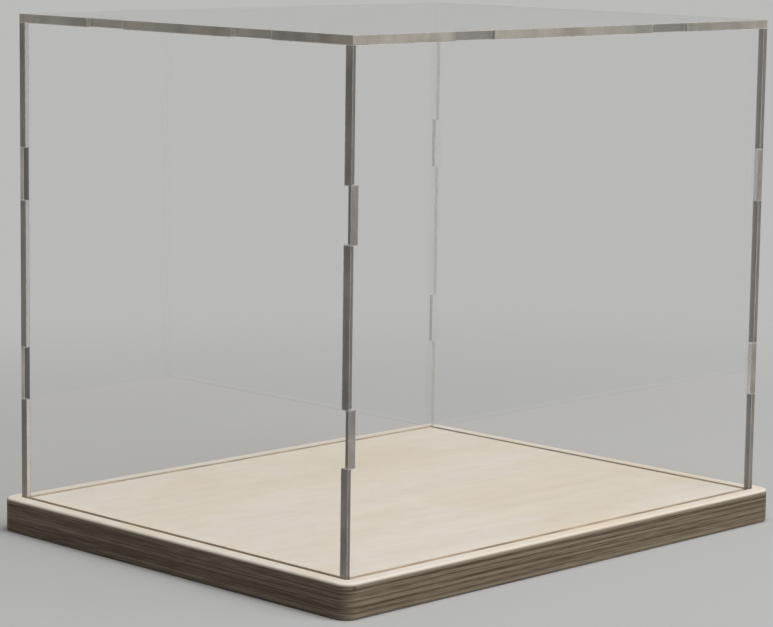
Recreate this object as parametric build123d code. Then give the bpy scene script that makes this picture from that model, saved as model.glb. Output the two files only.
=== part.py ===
from build123d import *
import os

# Display cover: five clear sheets joined by fingers, standing in a groove in a plywood base.
# Millimetres. +X runs right along the front, +Y from the front to the back, +Z up.
# The origin is the centre of the base's underside.

# Clear space under the cover
inner_width = 202.0
inner_depth = 159.0
inner_height = 168.0

# Clear sheets
sheet_thickness = 3.0
seam_gap = 0.05  # hairline between cut edges that meet

# Fingers between the upright sheets, two at each corner
finger_length = 18.6
finger_end_gap = 43.4  # from the sheet's foot or the top sheet's underside to the nearest finger

# Tabs from the upright sheets into the top sheet, two along each edge
tab_length = 18.8
front_tab_end_gap = 45.4  # from the cover's corner along the front and back
side_tab_end_gap = 36.8  # from the cover's corner along the left and right

# Plywood base
base_thickness = 12.0
rim_width = 5.2  # board outside the sheets
base_corner_radius = 5.0
base_arris_radius = 1.0

# Groove for the sheets' feet
groove_depth = 8.0
groove_clearance = 0.3  # beside the sheet, on each face of it
groove_corner_radius = 1.0  # left by the cutter in the groove's outer corners

# Places worked out from the sizes above
outer_width = inner_width + 2 * sheet_thickness
outer_depth = inner_depth + 2 * sheet_thickness
board_width = outer_width + 2 * rim_width
board_depth = outer_depth + 2 * rim_width
floor_z = base_thickness
foot_z = floor_z - groove_depth
ceiling_z = floor_z + inner_height
top_z = ceiling_z + sheet_thickness


def block(x_span, y_span, z_span):
    """Square block between two values along each axis."""
    corner = Pos(min(x_span), min(y_span), min(z_span))
    size = [abs(span[1] - span[0]) for span in (x_span, y_span, z_span)]
    return corner * Box(*size, align=(Align.MIN, Align.MIN, Align.MIN))


def two_spans(low, high, end_gap, length):
    """Two equal spans, each end_gap in from its own end of the edge from low to high."""
    return [(low + end_gap, low + end_gap + length), (high - end_gap - length, high - end_gap)]


def widened(span, amount):
    """The span with the same amount added at both ends."""
    return (span[0] - amount, span[1] + amount)


# Where the fingers and tabs lie, shared by the sheets that meet there
finger_spans = two_spans(foot_z, ceiling_z, finger_end_gap, finger_length)
front_tab_spans = two_spans(-outer_width / 2, outer_width / 2, front_tab_end_gap, tab_length)
side_tab_spans = two_spans(-outer_depth / 2, outer_depth / 2, side_tab_end_gap, tab_length)


def long_sheet(side):
    """Front (side -1) or back (side 1) sheet: full width, notched for the side sheets' fingers."""
    outer_face = side * outer_depth / 2
    inner_face = side * inner_depth / 2
    sheet_y = (outer_face, inner_face)
    sheet = block((-outer_width / 2, outer_width / 2), sheet_y, (foot_z, ceiling_z - seam_gap))
    for span in front_tab_spans:
        sheet += block(span, sheet_y, (foot_z, top_z))
    for end in (-1, 1):
        notch_x = (end * outer_width / 2, end * (inner_width / 2 - seam_gap))
        for span in finger_spans:
            sheet -= block(notch_x, sheet_y, widened(span, seam_gap))
    return sheet


def short_sheet(side):
    """Left (side -1) or right (side 1) sheet: between the long ones, with fingers through them."""
    sheet_x = (side * outer_width / 2, side * inner_width / 2)
    body_y = (-inner_depth / 2 + seam_gap, inner_depth / 2 - seam_gap)
    sheet = block(sheet_x, body_y, (foot_z, ceiling_z - seam_gap))
    for span in side_tab_spans:
        sheet += block(sheet_x, span, (foot_z, top_z))
    for span in finger_spans:
        sheet += block(sheet_x, (-outer_depth / 2, outer_depth / 2), span)
    return sheet


def top_sheet():
    """Top sheet: full width and depth, notched in each edge for the tabs."""
    sheet = block(
        (-outer_width / 2, outer_width / 2),
        (-outer_depth / 2, outer_depth / 2),
        (ceiling_z, top_z),
    )
    for end in (-1, 1):
        notch_y = (end * outer_depth / 2, end * (inner_depth / 2 - seam_gap))
        for span in front_tab_spans:
            sheet -= block(widened(span, seam_gap), notch_y, (ceiling_z, top_z))
        notch_x = (end * outer_width / 2, end * (inner_width / 2 - seam_gap))
        for span in side_tab_spans:
            sheet -= block(notch_x, widened(span, seam_gap), (ceiling_z, top_z))
    return sheet


def groove_cutter():
    """What the groove takes out of the board: a square ring with a clearance beside the sheets."""
    ring_width = outer_width + 2 * groove_clearance
    ring_depth = outer_depth + 2 * groove_clearance
    island_width = inner_width - 2 * groove_clearance
    island_depth = inner_depth - 2 * groove_clearance
    outline = RectangleRounded(ring_width, ring_depth, groove_corner_radius)
    island = Rectangle(island_width, island_depth)
    return Pos(0, 0, foot_z) * extrude(outline - island, groove_depth)


def base_board():
    """Plywood board with rounded corners and arrises, and the groove for the sheets."""
    outline = RectangleRounded(board_width, board_depth, base_corner_radius)
    board = extrude(outline, base_thickness)
    faces = board.faces().sort_by(Axis.Z)
    board = fillet(faces[0].edges() + faces[-1].edges(), base_arris_radius)
    return board - groove_cutter()


nodes = {
    "base_board": base_board(),
    "front_panel": long_sheet(-1),
    "back_panel": long_sheet(1),
    "left_panel": short_sheet(-1),
    "right_panel": short_sheet(1),
    "top_panel": top_sheet(),
}

os.makedirs("parts", exist_ok=True)
for name, shape in nodes.items():
    export_step(shape, f"parts/{name}.step")
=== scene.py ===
"""Display cover: a clear box of finger-jointed sheets that stands in a groove in a plywood base."""

import math

import bpy
from mathutils import Matrix, Vector


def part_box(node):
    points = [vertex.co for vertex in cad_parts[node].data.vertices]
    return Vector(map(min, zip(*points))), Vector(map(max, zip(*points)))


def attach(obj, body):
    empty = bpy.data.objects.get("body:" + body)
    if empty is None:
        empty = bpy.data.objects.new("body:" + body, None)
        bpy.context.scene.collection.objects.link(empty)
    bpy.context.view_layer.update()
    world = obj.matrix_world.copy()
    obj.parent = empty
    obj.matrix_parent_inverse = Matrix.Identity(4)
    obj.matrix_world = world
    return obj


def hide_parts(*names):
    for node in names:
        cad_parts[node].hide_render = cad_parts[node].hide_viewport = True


bl_info = {
    "name": "Display cover",
    "version": (1, 0, 0),
    "blender": (4, 5, 0),
    "location": "3D View > Sidebar > Display cover",
    "description": "Builds the clear cover, its plywood base and a plain studio around them",
    "category": "Add Mesh",
}

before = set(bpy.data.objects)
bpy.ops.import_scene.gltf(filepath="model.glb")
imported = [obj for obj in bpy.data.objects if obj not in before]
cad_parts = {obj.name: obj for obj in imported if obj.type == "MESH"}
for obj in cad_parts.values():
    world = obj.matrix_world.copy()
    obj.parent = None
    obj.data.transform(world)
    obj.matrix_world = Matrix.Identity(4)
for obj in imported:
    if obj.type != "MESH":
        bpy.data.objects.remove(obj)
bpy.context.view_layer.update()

MM = 0.001
WELD = 0.001 * MM  # corners nearer than this are one corner
ON_FACE = 0.02 * MM  # a face this near a plane lies on it
FACING = 0.95  # least share of a face's normal along an axis for the face to look that way
SHARP = 0.5  # faces whose normals agree less than this meet at a sharp edge
SMOOTH_ANGLE = math.radians(35)  # shading runs on over edges flatter than this
FLAT_ANGLE = math.radians(1)  # faces that meet at less than this are one face
CLEAR_WAY = 1 * MM  # the groove's cutter stands proud of the board by this
SENSOR_WIDTH = 36  # width in millimetres of the frame that the camera's lens is given for

# Steps that a rounding is made of
CORNER_STEPS = 14
ARRIS_STEPS = 6
GROOVE_STEPS = 4
FINE_STEPS = 2

# Numbers of the board's second material and of a sheet's materials, in the order that a piece holds them
GROOVE = 1
POLISHED, CUT_EDGE, SEAM, ARRIS = range(4)

UPRIGHT_SHEETS = ("front_panel", "back_panel", "left_panel", "right_panel")
TOP_SHEET = "top_panel"


class BoardSettings(bpy.types.PropertyGroup):
    """Plywood base."""

    corner_radius: bpy.props.FloatProperty(
        name="Corner radius", description="Rounding of the board's corners, seen from above",
        default=5 * MM, min=0, unit="LENGTH")
    arris_radius: bpy.props.FloatProperty(
        name="Arris radius", description="Rounding along the board's upper and lower edges",
        default=1 * MM, min=0, unit="LENGTH")
    groove_clearance: bpy.props.FloatProperty(
        name="Groove clearance", description="Room beside a sheet in the groove, on each face of it",
        default=0.3 * MM, min=0, unit="LENGTH")
    groove_corner_radius: bpy.props.FloatProperty(
        name="Groove corner radius", description="Rounding left by the cutter in the groove's corners",
        default=1 * MM, min=0, unit="LENGTH")
    groove_lip: bpy.props.FloatProperty(
        name="Groove lip", description="Sanded lip along both sides of the groove",
        default=0.12 * MM, min=0, unit="LENGTH")
    face_veneer: bpy.props.FloatProperty(
        name="Face veneer", description="Thickness of the upper and lower face veneers",
        default=1.7 * MM, min=0, unit="LENGTH")
    ply_count: bpy.props.IntProperty(
        name="Plies", description="Plies between the face veneers", default=9, min=1)
    ply_wander: bpy.props.FloatProperty(
        name="Ply wander", description="How far the seams between the plies wander up and down",
        default=0.3 * MM, min=0, unit="LENGTH")
    ply_seed: bpy.props.FloatProperty(
        name="Ply seed", description="Picks how light each ply comes out", default=10)
    veneer_color: bpy.props.FloatVectorProperty(
        name="Veneer", description="Pale wood of the face veneer",
        default=(0.75, 0.69, 0.61), min=0, max=1, subtype="COLOR")
    veneer_warm: bpy.props.FloatVectorProperty(
        name="Warm figure", description="Warmer patches in the face veneer",
        default=(0.725, 0.63, 0.5), min=0, max=1, subtype="COLOR")
    ply_light: bpy.props.FloatVectorProperty(
        name="Light ply", description="Ply cut along its grain",
        default=(0.27, 0.216, 0.154), min=0, max=1, subtype="COLOR")
    ply_dark: bpy.props.FloatVectorProperty(
        name="Dark ply", description="Ply cut across its grain",
        default=(0.08, 0.055, 0.032), min=0, max=1, subtype="COLOR")
    # Wood inside the groove, set darker and browner than the face veneer
    groove_color: bpy.props.FloatVectorProperty(
        name="Groove", description="Browned wood inside the groove",
        default=(0.7, 0.57, 0.42), min=0, max=1, subtype="COLOR")
    knot_place: bpy.props.FloatVectorProperty(
        name="Knot", description="Middle of the small dark knot in the edge by the near corner",
        default=(-0.1054, -0.0876, 0.0102), subtype="XYZ", unit="LENGTH")
    knot_radius: bpy.props.FloatProperty(
        name="Knot radius", description="How far the knot reaches", default=1 * MM, min=0, unit="LENGTH")
    knot_color: bpy.props.FloatVectorProperty(
        name="Knot colour", description="Dark wood of the small knot",
        default=(0.09, 0.055, 0.035), min=0, max=1, subtype="COLOR")


class SheetSettings(bpy.types.PropertyGroup):
    """Clear sheets."""

    arris: bpy.props.FloatProperty(
        name="Arris", description="Width of the tiny bevel that the cutter leaves on every edge",
        default=0.12 * MM, min=0, unit="LENGTH")
    refraction: bpy.props.FloatProperty(
        name="Refractive index", description="How much the sheet bends light", default=1.49, min=1)
    clear_color: bpy.props.FloatVectorProperty(
        name="Clear sheet", description="Faint tint of the clear sheet",
        default=(0.985, 0.985, 0.98), min=0, max=1, subtype="COLOR")
    # Partly painted reflection: the warm beige stands in for the wood's light carried along the sheet to its
    # cut edge
    edge_satin_and_reflection_color: bpy.props.FloatVectorProperty(
        name="Cut edge", description="Satin edge that the cutter leaves",
        default=(0.46, 0.425, 0.37), min=0, max=1, subtype="COLOR")
    # Partly painted reflection: the warm grey stands in for the wood's light carried along the sheet to the
    # seam
    seam_satin_and_reflection_color: bpy.props.FloatVectorProperty(
        name="Seam", description="Cut edge that lies against another sheet, seen through the clear face",
        default=(0.4, 0.37, 0.325), min=0, max=1, subtype="COLOR")
    # Painted highlight: the pale colour makes each arris a thin bright line, whatever the light
    arris_highlight_color: bpy.props.FloatVectorProperty(
        name="Cut arris", description="Bright line along each edge",
        default=(0.85, 0.83, 0.79), min=0, max=1, subtype="COLOR")


class StageSettings(bpy.types.PropertyGroup):
    """Floor, lamps and camera."""

    backdrop_color: bpy.props.FloatVectorProperty(
        name="Backdrop", description="Plain pale floor and background",
        default=(0.5, 0.5, 0.495), min=0, max=1, subtype="COLOR")
    fill_strength: bpy.props.FloatProperty(
        name="Fill light", description="Strength of the even light from all round", default=0.15, min=0)
    key_power: bpy.props.FloatProperty(
        name="Key lamp", description="Power of the large soft lamp in front",
        default=18.5, min=0, unit="POWER")
    key_size: bpy.props.FloatProperty(
        name="Key lamp size", description="Side of the lamp in front", default=1.3, min=0, unit="LENGTH")
    key_place: bpy.props.FloatVectorProperty(
        name="Key lamp place", description="Where the lamp in front hangs",
        default=(0.5, -1.4, 1.2), subtype="XYZ", unit="LENGTH")
    top_power: bpy.props.FloatProperty(
        name="Top lamp", description="Power of the soft lamp overhead",
        default=23.2, min=0, unit="POWER")
    top_size: bpy.props.FloatProperty(
        name="Top lamp size", description="Side of the lamp overhead", default=1, min=0, unit="LENGTH")
    top_place: bpy.props.FloatVectorProperty(
        name="Top lamp place", description="Where the lamp overhead hangs",
        default=(0, -0.25, 1.7), subtype="XYZ", unit="LENGTH")
    lamp_target: bpy.props.FloatVectorProperty(
        name="Lamp target", description="Where both lamps point",
        default=(0, 0, 0.06), subtype="XYZ", unit="LENGTH")
    floor_size: bpy.props.FloatProperty(
        name="Floor size", description="Side of the floor", default=60, min=0, unit="LENGTH")
    floor_near: bpy.props.FloatProperty(
        name="Plain floor", description="Distance at which the floor starts to fade into the backdrop",
        default=0.17, min=0, unit="LENGTH")
    floor_far: bpy.props.FloatProperty(
        name="Faded floor", description="Distance at which the floor has faded into the backdrop",
        default=0.55, min=0, unit="LENGTH")
    camera_place: bpy.props.FloatVectorProperty(
        name="Camera", description="Where the camera stands",
        default=(-0.71518, -0.70283, 0.22762), subtype="XYZ", unit="LENGTH")
    camera_azimuth: bpy.props.FloatProperty(
        name="Azimuth", description="Side that the camera looks from, 0 is the front",
        default=math.radians(-45.323), subtype="ANGLE", unit="ROTATION")
    camera_elevation: bpy.props.FloatProperty(
        name="Elevation", description="How far the camera looks down",
        default=math.radians(8.529), subtype="ANGLE", unit="ROTATION")
    camera_roll: bpy.props.FloatProperty(
        name="Roll", description="Turn of the camera about its line of sight",
        default=math.radians(0.8), subtype="ANGLE", unit="ROTATION")
    camera_lens: bpy.props.FloatProperty(
        name="Lens", description="Focal length in millimetres on a 36 mm frame", default=132.02, min=1)


def only(obj):
    """Makes obj the one selected and active object."""
    bpy.ops.object.select_all(action="DESELECT")
    obj.select_set(True)
    bpy.context.view_layer.objects.active = obj


def add_block(name, low, high):
    """Square block between two corners, with its place in its mesh."""
    bpy.ops.object.select_all(action="DESELECT")
    bpy.ops.mesh.primitive_cube_add(size=1, location=(low + high) / 2, scale=high - low)
    bpy.ops.object.transform_apply(location=True, rotation=True, scale=True)
    block = bpy.context.active_object
    block.name = name
    return block


def pick_edges(obj, wanted):
    """Selects the edges for which wanted(one end, other end, normals of the faces there) is true."""
    mesh = obj.data
    beside = [[] for _ in mesh.edges]
    edge_at = {key: i for i, key in enumerate(mesh.edge_keys)}
    for face in mesh.polygons:
        for key in face.edge_keys:
            beside[edge_at[key]].append(face.normal.copy())
    clear_picks(mesh)
    for edge in mesh.edges:
        a, b = (mesh.vertices[i].co for i in edge.vertices)
        edge.select = bool(wanted(a, b, beside[edge.index]))


def pick_faces(obj, wanted):
    """Selects the faces for which wanted(centre, normal) is true."""
    mesh = obj.data
    clear_picks(mesh)
    for face in mesh.polygons:
        face.select = bool(wanted(face.center, face.normal))


def clear_picks(mesh):
    """Deselects every corner, edge and face of the mesh."""
    for parts in (mesh.vertices, mesh.edges, mesh.polygons):
        parts.foreach_set("select", [False] * len(parts))


def edit(mode, *steps):
    """Runs the steps on the active object in edit mode, selecting by VERT, EDGE or FACE."""
    bpy.context.tool_settings.mesh_select_mode = [mode == kind for kind in ("VERT", "EDGE", "FACE")]
    bpy.ops.object.mode_set(mode="EDIT")
    for step in steps:
        step()
    bpy.ops.object.mode_set(mode="OBJECT")


def bevel_picked(width, segments):
    """Step for edit: rounds the selected edges."""
    return lambda: bpy.ops.mesh.bevel(
        offset_type="OFFSET", offset=width, segments=segments, affect="EDGES", clamp_overlap=True)


def is_upright_edge(a, b, normals):
    """True for an edge that runs straight up."""
    return abs(a.z - b.z) > WELD and (a - b).xy.length < WELD


def is_sharp_edge(a, b, normals):
    """True for an edge where two faces meet at an angle."""
    return len(normals) == 2 and normals[0].dot(normals[1]) < SHARP


def material_on(piece, *materials):
    """Gives the piece these materials, in the order that its faces name them by number."""
    piece.data.materials.clear()
    for material in materials:
        piece.data.materials.append(material)


def node(tree, kind, inputs=None, **settings):
    """A new shader node. An input that is another node's output is linked, and the rest are set."""
    made = tree.nodes.new("ShaderNode" + kind)
    for name, value in settings.items():
        setattr(made, name, value)
    for socket, value in (inputs or {}).items():
        if isinstance(value, bpy.types.NodeSocket):
            tree.links.new(value, made.inputs[socket])
        else:
            made.inputs[socket].default_value = value
    return made


def math_node(tree, operation, *values):
    """Output of a Math node."""
    return node(tree, "Math", dict(enumerate(values)), operation=operation).outputs[0]


def total(tree, *values):
    """Sum of numbers."""
    result = values[0]
    for value in values[1:]:
        result = math_node(tree, "ADD", result, value)
    return result


def mixed(tree, factor, first, second):
    """Colour between first and second. A Mix node's sockets for colours are numbers 6, 7 and 2."""
    return node(tree, "Mix", {0: factor, 6: first, 7: second}, data_type="RGBA").outputs[2]


def ramp(tree, value, first, last):
    """Smooth change of a number from first to last, each of them an input and its output."""
    inputs = {"Value": value, "From Min": first[0], "From Max": last[0],
              "To Min": first[1], "To Max": last[1]}
    return node(tree, "MapRange", inputs, interpolation_type="SMOOTHSTEP").outputs["Result"]


def noise(tree, place, scale, detail=3.0, roughness=0.6):
    """Noise from 0 to 1 at a place, with its own scale along X, Y and Z in cells per metre."""
    stretched = node(tree, "Mapping", {"Vector": place, "Scale": scale}).outputs[0]
    inputs = {"Vector": stretched, "Scale": 1.0, "Detail": detail, "Roughness": roughness}
    return node(tree, "TexNoise", inputs).outputs["Fac"]


def new_material(name):
    """Empty material, its nodes and its output node."""
    material = bpy.data.materials.new(name)
    material.use_nodes = True
    tree = material.node_tree
    tree.nodes.clear()
    return material, tree, node(tree, "OutputMaterial")


def rgba(color, gain=1.0):
    """The colour made lighter or darker by a gain, as a shader node takes it."""
    return (*(channel * gain for channel in color), 1.0)


def drifting(tree, clouds, color, low_gain, high_gain, spread=0.2):
    """Colour that drifts with the clouds between two gains of itself."""
    share = ramp(tree, clouds, (0.5 - spread, 0.0), (0.5 + spread, 1.0))
    return mixed(tree, share, rgba(color, low_gain), rgba(color, high_gain))


def seen_ray(tree):
    """1 for rays from the camera, and for those that gloss or a clear sheet sends on, and 0 for the rest."""
    path = node(tree, "LightPath").outputs
    seen = math_node(tree, "MAXIMUM", path["Is Camera Ray"], path["Is Glossy Ray"])
    return math_node(tree, "MAXIMUM", seen, path["Is Transmission Ray"])


def veneer_color(tree, board, place, grain):
    """Face veneer: broad warm patches, finer mottling, long fine grain along X and small flecks."""
    patches = noise(tree, place, (11, 22, 22), detail=4, roughness=0.65)
    mottle = noise(tree, place, (110, 200, 200), detail=3)
    bands = noise(tree, place, (6, 130, 130), detail=3)
    flecks = noise(tree, place, (260, 2400, 2400), detail=1)
    layers = (
        (ramp(tree, patches, (0.43, 0.0), (0.66, 1.0)), rgba(board.veneer_warm)),
        (ramp(tree, grain, (0.35, 0.18), (0.75, 0.0)), rgba(board.veneer_warm, 0.72)),
        (ramp(tree, mottle, (0.3, 0.0), (0.72, 0.3)), rgba(board.veneer_warm, 0.84)),
        (ramp(tree, bands, (0.35, 0.0), (0.7, 0.18)), rgba(board.veneer_color, 1.14)),
        (ramp(tree, flecks, (0.66, 0.0), (0.78, 0.3)), rgba(board.veneer_warm, 0.55)),
    )
    color = rgba(board.veneer_color)
    for share, tint in layers:
        color = mixed(tree, share, color, tint)
    return color


def ply_color(tree, board, place, normal, streaks, low, high):
    """Plies: the grain of each crosses that of the next, so light and dark swap on the next side, and the
    sides facing along X are darkened as painted shade.
    """
    level = node(tree, "SeparateXYZ", {0: place}).outputs["Z"]
    half = (high.z - low.z) / 2
    ply = (high.z - low.z - 2 * board.face_veneer) / board.ply_count

    # Plies counted up from the lower face veneer, with seams that wander a little
    waves = noise(tree, place, (14, 14, 120), detail=2)
    lowest_seam = -board.ply_wander / 2 - low.z - board.face_veneer
    wander = math_node(tree, "MULTIPLY_ADD", waves, board.ply_wander, lowest_seam)
    count = math_node(tree, "DIVIDE", math_node(tree, "ADD", level, wander), ply)
    index = math_node(tree, "FLOOR", count)

    # What makes a ply light: its grain along this side, its own tone, painted shade that darkens the sides
    # facing along X, and its streaks
    odd = math_node(tree, "PINGPONG", index, 1.0)
    across = node(tree, "SeparateXYZ", {0: normal}).outputs["X"]
    side = math_node(tree, "MULTIPLY", across, across)
    along = math_node(tree, "ABSOLUTE", math_node(tree, "SUBTRACT", odd, side))
    seed = math_node(tree, "ADD", index, board.ply_seed)
    tone = node(tree, "TexWhiteNoise", {"W": seed}, noise_dimensions="1D").outputs["Value"]
    cells = noise(tree, place, (90, 90, 2800), detail=2)
    from_middle = math_node(tree, "ABSOLUTE", math_node(tree, "SUBTRACT", level, low.z + half))
    veneer_foot = half - board.face_veneer
    foot_blur = 0.3 * MM
    light = total(
        tree,
        math_node(tree, "MULTIPLY", along, 0.25),
        math_node(tree, "MULTIPLY", tone, 0.36),
        # painted shade: the sides facing along X come out darker
        math_node(tree, "MULTIPLY", side, -0.25),
        ramp(tree, streaks, (0.36, -0.34), (0.64, 0.34)),
        ramp(tree, cells, (0.35, -0.22), (0.65, 0.22)),
        ramp(tree, from_middle, (veneer_foot - foot_blur, 0.2), (veneer_foot + foot_blur, 0.45)),
    )
    color = mixed(tree, light, rgba(board.ply_dark), rgba(board.ply_light))

    # Dark glue lines at the seams, and the knot
    within = math_node(tree, "FRACT", count)
    from_centre = math_node(tree, "ABSOLUTE", math_node(tree, "SUBTRACT", within, 0.5))
    color = mixed(tree, ramp(tree, from_centre, (0.4, 0.0), (0.5, 0.3)), color, rgba(board.ply_dark, 0.62))
    to_knot = {0: place, 1: board.knot_place}
    from_knot = node(tree, "VectorMath", to_knot, operation="DISTANCE").outputs["Value"]
    knot = ramp(tree, from_knot, (0.45 * board.knot_radius, 0.85), (board.knot_radius, 0.0))
    return mixed(tree, knot, color, rgba(board.knot_color))


def plywood_material(board, low, high):
    """Pale face veneer above and below, and streaked plies of alternating grain in between."""
    material, tree, output = new_material("birch_plywood")
    coords = node(tree, "TexCoord").outputs
    place = coords["Object"]
    grain = noise(tree, place, (22, 900, 900), detail=5, roughness=0.7)
    streaks = noise(tree, place, (13, 13, 2100), detail=4, roughness=0.55)
    veneer = veneer_color(tree, board, place, grain)
    plies = ply_color(tree, board, place, coords["Normal"], streaks, low, high)

    # The sanded upper arris turns from the veneer's pale face to its darker edge, the lower one doesn't
    level = node(tree, "SeparateXYZ", {0: place}).outputs["Z"]
    upper = ramp(tree, level, (high.z - 1.3 * board.arris_radius, 0.0), (high.z - 0.1 * MM, 1.0))
    lower = ramp(tree, level, (low.z + 0.05 * MM, 1.0), (low.z + 0.3 * MM, 0.0))
    color = mixed(tree, math_node(tree, "MAXIMUM", upper, lower), plies, veneer)

    relief = math_node(tree, "ADD", math_node(tree, "MULTIPLY", grain, 0.6), streaks)
    bump = node(tree, "Bump", {"Height": relief, "Strength": 0.25, "Distance": 0.06 * MM}).outputs[0]
    gloss = ramp(tree, grain, (0.3, 0.62), (0.7, 0.5))
    wood = node(tree, "BsdfPrincipled", {
        "Base Color": color, "Roughness": gloss, "Normal": bump, "Specular IOR Level": 0.35})
    tree.links.new(wood.outputs[0], output.inputs[0])
    return material


def groove_material(board):
    """Wood inside the groove, darker and browner than the face veneer, in uneven patches."""
    material, tree, output = new_material("groove_wood")
    place = node(tree, "TexCoord").outputs["Object"]
    groove_patches = noise(tree, place, (60, 60, 500), detail=4)
    color = drifting(tree, groove_patches, board.groove_color, 0.7, 1.35)
    bump = node(tree, "Bump", {"Height": groove_patches, "Strength": 0.3, "Distance": 0.1 * MM}).outputs[0]
    wood = node(tree, "BsdfPrincipled", {"Base Color": color, "Roughness": 0.75, "Normal": bump})
    tree.links.new(wood.outputs[0], output.inputs[0])
    return material


def let_lamps_through(tree, surface, tint, output):
    """Rays from lamps and rays that bounce off matt things pass straight through the clear surface."""
    path = node(tree, "LightPath").outputs
    open_way = node(tree, "BsdfTransparent", {"Color": tint}).outputs[0]
    for ray in ("Is Diffuse Ray", "Is Shadow Ray"):
        surface = node(tree, "MixShader", {0: path[ray], 1: surface, 2: open_way}).outputs[0]
    tree.links.new(surface, output.inputs[0])


def clear_material(sheet):
    """Polished face of the clear sheet, with the faint waviness of cast sheet."""
    material, tree, output = new_material("clear_face")
    place = node(tree, "TexCoord").outputs["Object"]
    waves = noise(tree, place, (14, 14, 14), detail=1)
    bump = node(tree, "Bump", {"Height": waves, "Strength": 0.05, "Distance": 0.1 * MM}).outputs[0]
    face = node(tree, "BsdfPrincipled", {
        "Base Color": rgba(sheet.clear_color), "Roughness": 0.0, "IOR": sheet.refraction,
        "Transmission Weight": 1.0, "Normal": bump}).outputs[0]
    let_lamps_through(tree, face, rgba((0.96, 0.96, 0.958)), output)
    return material


def edge_material(sheet):
    """Cut edge: satin, with fine lines that the cutter leaves across the sheet's thickness. Its warm beige
    colour is partly the satin finish and partly a painted reflection of the wood's light carried along the
    sheet.
    """
    material, tree, output = new_material("cut_edge")
    place = node(tree, "TexCoord").outputs["Object"]
    lines = noise(tree, place, (1800, 1800, 1800), detail=2)
    bump = node(tree, "Bump", {"Height": lines, "Strength": 0.3, "Distance": 0.05 * MM}).outputs[0]
    edge = node(tree, "BsdfPrincipled", {
        "Base Color": drifting(tree, noise(tree, place, (90, 90, 60)), sheet.edge_satin_and_reflection_color, 0.8, 1.25),
        "Roughness": 0.3, "IOR": sheet.refraction, "Transmission Weight": 0.35, "Normal": bump}).outputs[0]
    let_lamps_through(tree, edge, rgba((0.75, 0.75, 0.74)), output)
    return material


def seam_material(sheet):
    """Cut edge against another sheet: pale satin, whose warm grey colour is partly a painted reflection of
    the wood's light carried along the sheet.
    """
    material, tree, output = new_material("seam_face")
    place = node(tree, "TexCoord").outputs["Object"]
    seam = node(tree, "BsdfPrincipled", {
        "Base Color": drifting(tree, noise(tree, place, (200, 200, 60)), sheet.seam_satin_and_reflection_color, 0.85, 1.0),
        "Roughness": 0.15, "IOR": sheet.refraction, "Transmission Weight": 0.55}).outputs[0]
    let_lamps_through(tree, seam, rgba((0.85, 0.85, 0.84)), output)
    return material


def arris_material(sheet):
    """Tiny bevel along every edge, given a pale colour as a painted highlight, so that it shows as a thin
    bright line.
    """
    material, tree, output = new_material("arris_painted_highlight")
    place = node(tree, "TexCoord").outputs["Object"]
    highlight_breaks = noise(tree, place, (700, 700, 700), detail=2)
    arris = node(tree, "BsdfPrincipled", {
        "Base Color": drifting(tree, highlight_breaks, sheet.arris_highlight_color, 0.65, 1.0, spread=0.15),
        "Roughness": 0.35, "IOR": sheet.refraction, "Transmission Weight": 0.35}).outputs[0]
    let_lamps_through(tree, arris, rgba((0.8, 0.8, 0.79)), output)
    return material


def groove_cutter(board, foot, top):
    """Square ring that is cut out of the board from the foot up to the top, with room beside the sheets."""
    sheet_low, sheet_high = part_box("front_panel")
    width = sheet_high.y - sheet_low.y + 2 * board.groove_clearance
    reach = Vector((sheet_high.x + board.groove_clearance, -sheet_low.y + board.groove_clearance, 0))
    cutter = add_block("groove_cutter", Vector((-reach.x, -reach.y, foot)), Vector((reach.x, reach.y, top)))
    pick_faces(cutter, lambda centre, normal: abs(normal.z) > FACING)
    edit("FACE",
         lambda: bpy.ops.mesh.inset(thickness=width, use_individual=True),
         lambda: bpy.ops.mesh.bridge_edge_loops())
    pick_edges(cutter, lambda a, b, normals: is_upright_edge(a, b, normals)
               and abs(abs(a.x) - reach.x) < WELD)
    edit("EDGE", bevel_picked(board.groove_corner_radius, GROOVE_STEPS))
    return cutter


def paint_groove(board, piece, foot, top):
    """Gives the faces inside the groove their own material."""
    sheet_low, sheet_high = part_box("front_panel")
    wall_x = sheet_high.x + board.groove_clearance + ON_FACE
    wall_y = -sheet_low.y + board.groove_clearance + ON_FACE
    for face in piece.data.polygons:
        inside = abs(face.center.x) < wall_x and abs(face.center.y) < wall_y
        if inside and foot + ON_FACE < face.center.z < top - board.groove_lip:
            face.material_index = GROOVE


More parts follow.
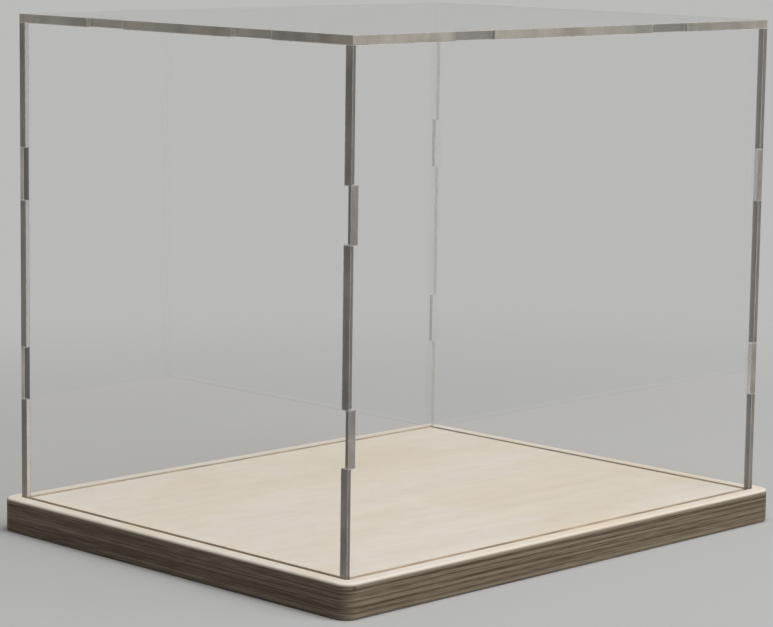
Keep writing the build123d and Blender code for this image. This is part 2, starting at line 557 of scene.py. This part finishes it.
class DISPLAYCOVER_OT_base(bpy.types.Operator):
    """Plywood board with rounded corners and arrises and a groove for the sheets"""

    bl_idname = "display_cover.base"
    bl_label = "Plywood base"

    def execute(self, context):
        board = context.scene.display_cover_board
        low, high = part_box("base_board")
        piece = add_block("plywood_board", low, high)
        pick_edges(piece, is_upright_edge)
        edit("EDGE", bevel_picked(board.corner_radius, CORNER_STEPS))
        pick_edges(piece, lambda a, b, normals: is_sharp_edge(a, b, normals)
                   and abs(a.z - b.z) < WELD)
        edit("EDGE", bevel_picked(board.arris_radius, ARRIS_STEPS))

        groove_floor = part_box("front_panel")[0].z
        cutter = groove_cutter(board, groove_floor, high.z + CLEAR_WAY)
        only(piece)
        groove = piece.modifiers.new("groove", "BOOLEAN")
        groove.operation = "DIFFERENCE"
        groove.object = cutter
        bpy.ops.object.modifier_apply(modifier=groove.name)
        bpy.data.objects.remove(cutter)

        pick_edges(piece, lambda a, b, normals: is_sharp_edge(a, b, normals)
                   and min(a.z, b.z) > high.z - ON_FACE)
        edit("EDGE", bevel_picked(board.groove_lip, FINE_STEPS))
        bpy.ops.object.shade_smooth_by_angle(angle=SMOOTH_ANGLE)
        even = piece.modifiers.new("even_shading", "WEIGHTED_NORMAL")
        even.keep_sharp = True
        bpy.ops.object.modifier_apply(modifier=even.name)

        material_on(piece, plywood_material(board, low, high), groove_material(board))
        paint_groove(board, piece, low.z, high.z)
        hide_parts("base_board")
        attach(piece, "base")
        return {"FINISHED"}


def cover_box():
    """Lowest and highest corners of the whole cover."""
    boxes = [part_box(name) for name in (*UPRIGHT_SHEETS, TOP_SHEET)]
    low = Vector([min(box[0][axis] for box in boxes) for axis in range(3)])
    high = Vector([max(box[1][axis] for box in boxes) for axis in range(3)])
    return low, high


def finish_sheet_faces(piece, thin):
    """Gives each face its material. thin is the axis that the sheet is thin along."""
    cover_low, cover_high = cover_box()
    for face in piece.data.polygons:
        face.use_smooth = False
        axis = max(range(3), key=lambda a: abs(face.normal[a]))
        outside = min(abs(face.center[axis] - cover_low[axis]), abs(face.center[axis] - cover_high[axis]))
        if abs(face.normal[axis]) < FACING:
            face.material_index = ARRIS
        elif axis == thin:
            face.material_index = POLISHED
        else:
            face.material_index = CUT_EDGE if outside < ON_FACE else SEAM


def add_sheet(context, name, materials):
    """Clear sheet from its CAD node: clean faces, tiny bevels, and a finish for each kind of face."""
    sheet = context.scene.display_cover_sheets
    low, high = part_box(name)
    thin = min(range(3), key=lambda axis: (high - low)[axis])
    piece = bpy.data.objects.new(name.replace("panel", "sheet"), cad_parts[name].data.copy())
    context.scene.collection.objects.link(piece)
    only(piece)
    if piece.data.has_custom_normals:
        bpy.ops.mesh.customdata_custom_splitnormals_clear()
    edit("VERT",
         lambda: bpy.ops.mesh.select_all(action="SELECT"),
         lambda: bpy.ops.mesh.remove_doubles(threshold=WELD),
         lambda: bpy.ops.mesh.dissolve_limited(angle_limit=FLAT_ANGLE))
    pick_edges(piece, is_sharp_edge)
    edit("EDGE", bevel_picked(sheet.arris, FINE_STEPS))
    material_on(piece, *materials)
    finish_sheet_faces(piece, thin)
    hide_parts(name)
    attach(piece, "cover")


def sheet_materials(context):
    """Polished face, cut edge, seam and arris, shared by all the sheets."""
    names = ("clear_face", "cut_edge", "seam_face", "arris_painted_highlight")
    makers = (clear_material, edge_material, seam_material, arris_material)
    return [bpy.data.materials.get(name) or make(context.scene.display_cover_sheets)
            for name, make in zip(names, makers)]


class DISPLAYCOVER_OT_upright_sheets(bpy.types.Operator):
    """Four upright clear sheets, joined at the corners by fingers"""

    bl_idname = "display_cover.upright_sheets"
    bl_label = "Upright sheets"

    def execute(self, context):
        materials = sheet_materials(context)
        for name in UPRIGHT_SHEETS:
            add_sheet(context, name, materials)
        return {"FINISHED"}


class DISPLAYCOVER_OT_top_sheet(bpy.types.Operator):
    """Clear top sheet, notched in each edge for the tabs of the upright sheets"""

    bl_idname = "display_cover.top_sheet"
    bl_label = "Top sheet"

    def execute(self, context):
        add_sheet(context, TOP_SHEET, sheet_materials(context))
        return {"FINISHED"}


def floor_material(stage):
    """Matt floor near the object, which fades into the plain background further off."""
    material, tree, output = new_material("studio_floor")
    place = node(tree, "TexCoord").outputs["Object"]
    away = node(tree, "VectorMath", {0: place}, operation="LENGTH").outputs["Value"]
    fade = ramp(tree, away, (stage.floor_near, 0.0), (stage.floor_far, 1.0))
    matt = node(tree, "BsdfDiffuse", {"Color": rgba(stage.backdrop_color, 0.83)}).outputs[0]
    plain = node(tree, "Emission", {"Color": rgba(stage.backdrop_color), "Strength": 1.0}).outputs[0]
    share = math_node(tree, "MULTIPLY", fade, seen_ray(tree))
    surface = node(tree, "MixShader", {0: share, 1: matt, 2: plain}).outputs[0]
    tree.links.new(surface, output.inputs[0])
    return material


def studio_world(stage):
    """Even grey light, seen as the plain background by the camera and in gloss and glass."""
    world = bpy.data.worlds.new("studio")
    world.use_nodes = True
    tree = world.node_tree
    tree.nodes.clear()
    fill = node(tree, "Background", {"Color": (1, 1, 1, 1), "Strength": stage.fill_strength}).outputs[0]
    plain = node(tree, "Background", {"Color": rgba(stage.backdrop_color), "Strength": 1.0}).outputs[0]
    mix = node(tree, "MixShader", {0: seen_ray(tree), 1: fill, 2: plain}).outputs[0]
    tree.links.new(mix, node(tree, "OutputWorld").inputs[0])
    return world


def add_lamp(name, place, target, size, power):
    """Square soft lamp at a place, turned to a target, that no view or mirror image shows."""
    lamp = bpy.data.lights.new(name, "AREA")
    lamp.energy = power
    lamp.size = size
    holder = bpy.data.objects.new(name, lamp)
    holder.location = place
    holder.rotation_euler = (target - place).to_track_quat("-Z", "Y").to_euler()
    holder.visible_camera = False
    holder.visible_glossy = False
    holder.visible_transmission = False
    bpy.context.scene.collection.objects.link(holder)


def add_camera(stage):
    """The scene's camera, turned by its azimuth, its elevation and then its roll."""
    back = Vector((math.sin(stage.camera_azimuth) * math.cos(stage.camera_elevation),
                   -math.cos(stage.camera_azimuth) * math.cos(stage.camera_elevation),
                   math.sin(stage.camera_elevation)))
    camera = bpy.data.objects.new("camera", bpy.data.cameras.new("camera"))
    camera.data.sensor_width = SENSOR_WIDTH
    camera.data.lens = stage.camera_lens
    turn = (-back).to_track_quat("-Z", "Y").to_matrix() @ Matrix.Rotation(stage.camera_roll, 3, "Z")
    camera.matrix_world = Matrix.Translation(Vector(stage.camera_place)) @ turn.to_4x4()
    bpy.context.scene.collection.objects.link(camera)
    bpy.context.scene.camera = camera


class DISPLAYCOVER_OT_stage(bpy.types.Operator):
    """Pale floor, soft lamps, even background and the camera"""

    bl_idname = "display_cover.stage"
    bl_label = "Stage"

    def execute(self, context):
        stage = context.scene.display_cover_stage
        bpy.ops.object.select_all(action="DESELECT")
        bpy.ops.mesh.primitive_plane_add(size=stage.floor_size)
        floor = context.active_object
        floor.name = "floor"
        floor.data.materials.append(floor_material(stage))

        context.scene.world = studio_world(stage)
        for name, place, size, power in (
            ("key_lamp", stage.key_place, stage.key_size, stage.key_power),
            ("top_lamp", stage.top_place, stage.top_size, stage.top_power),
        ):
            add_lamp(name, Vector(place), Vector(stage.lamp_target), size, power)
        add_camera(stage)
        context.scene.view_settings.view_transform = "Standard"
        return {"FINISHED"}


class DISPLAYCOVER_PT_panel(bpy.types.Panel):
    """Sizes, colours and build steps of the display cover"""

    bl_idname = "DISPLAYCOVER_PT_panel"
    bl_label = "Display cover"
    bl_space_type = "VIEW_3D"
    bl_region_type = "UI"
    bl_category = "Display cover"

    def draw(self, context):
        scene = context.scene
        for operators, settings in (
            ((DISPLAYCOVER_OT_base,), scene.display_cover_board),
            ((DISPLAYCOVER_OT_upright_sheets, DISPLAYCOVER_OT_top_sheet), scene.display_cover_sheets),
            ((DISPLAYCOVER_OT_stage,), scene.display_cover_stage),
        ):
            box = self.layout.box()
            for operator in operators:
                box.operator(operator.bl_idname)
            for name in settings.bl_rna.properties.keys():
                if name not in ("rna_type", "name"):
                    box.prop(settings, name)


CLASSES = (
    BoardSettings,
    SheetSettings,
    StageSettings,
    DISPLAYCOVER_OT_base,
    DISPLAYCOVER_OT_upright_sheets,
    DISPLAYCOVER_OT_top_sheet,
    DISPLAYCOVER_OT_stage,
    DISPLAYCOVER_PT_panel,
)


def register():
    """Makes the classes and their settings known to Blender."""
    for cls in CLASSES:
        bpy.utils.register_class(cls)
    bpy.types.Scene.display_cover_board = bpy.props.PointerProperty(type=BoardSettings)
    bpy.types.Scene.display_cover_sheets = bpy.props.PointerProperty(type=SheetSettings)
    bpy.types.Scene.display_cover_stage = bpy.props.PointerProperty(type=StageSettings)


def unregister():
    """Takes back what register did."""
    del bpy.types.Scene.display_cover_stage
    del bpy.types.Scene.display_cover_sheets
    del bpy.types.Scene.display_cover_board
    for cls in reversed(CLASSES):
        bpy.utils.unregister_class(cls)


def main():
    """Builds the stage and the cover."""
    register()
    bpy.ops.display_cover.stage()
    bpy.ops.display_cover.base()
    bpy.ops.display_cover.upright_sheets()
    bpy.ops.display_cover.top_sheet()


if __name__ == "__main__":
    main()
